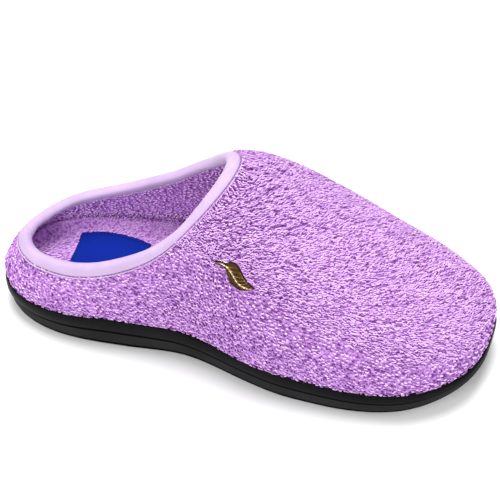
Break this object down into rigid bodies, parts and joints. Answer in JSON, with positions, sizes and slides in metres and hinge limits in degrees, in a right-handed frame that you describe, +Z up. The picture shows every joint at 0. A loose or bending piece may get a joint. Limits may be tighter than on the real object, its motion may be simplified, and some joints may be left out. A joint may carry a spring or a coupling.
{
  "type": "scuff slipper",
  "caption": "Closed-toe terry scuff slipper for the left foot, with a low heel wall, bound collar, dished footbed and stepped rubber sole with looped tread grooves.",
  "frame": {"origin": "middle of the footprint's bounding rectangle, on the floor", "axes": "+X to the toe, +Y to the outer (lateral) side, +Z up"},
  "size_m": [0.268, 0.1026, 0.1084],
  "materials": {
    "rubber": "matte moulded rubber with a faint sheen on its edges",
    "terry": "lavender cotton terry with upright loops",
    "footbed_terry": "lavender cotton terry over foam",
    "satin_tape": "smooth pale lilac tape with a soft sheen",
    "woven_label": "plain royal blue woven cloth",
    "antique_brass": "dark antique cast metal with bright worn edges"
  },
  "bodies": {
    "root": {"outsole": "rubber", "upper": "terry", "footbed": "footbed_terry", "collar_binding": "satin_tape", "heel_label": "woven_label", "ornament": "antique_brass"}
  },
  "joints": []
}
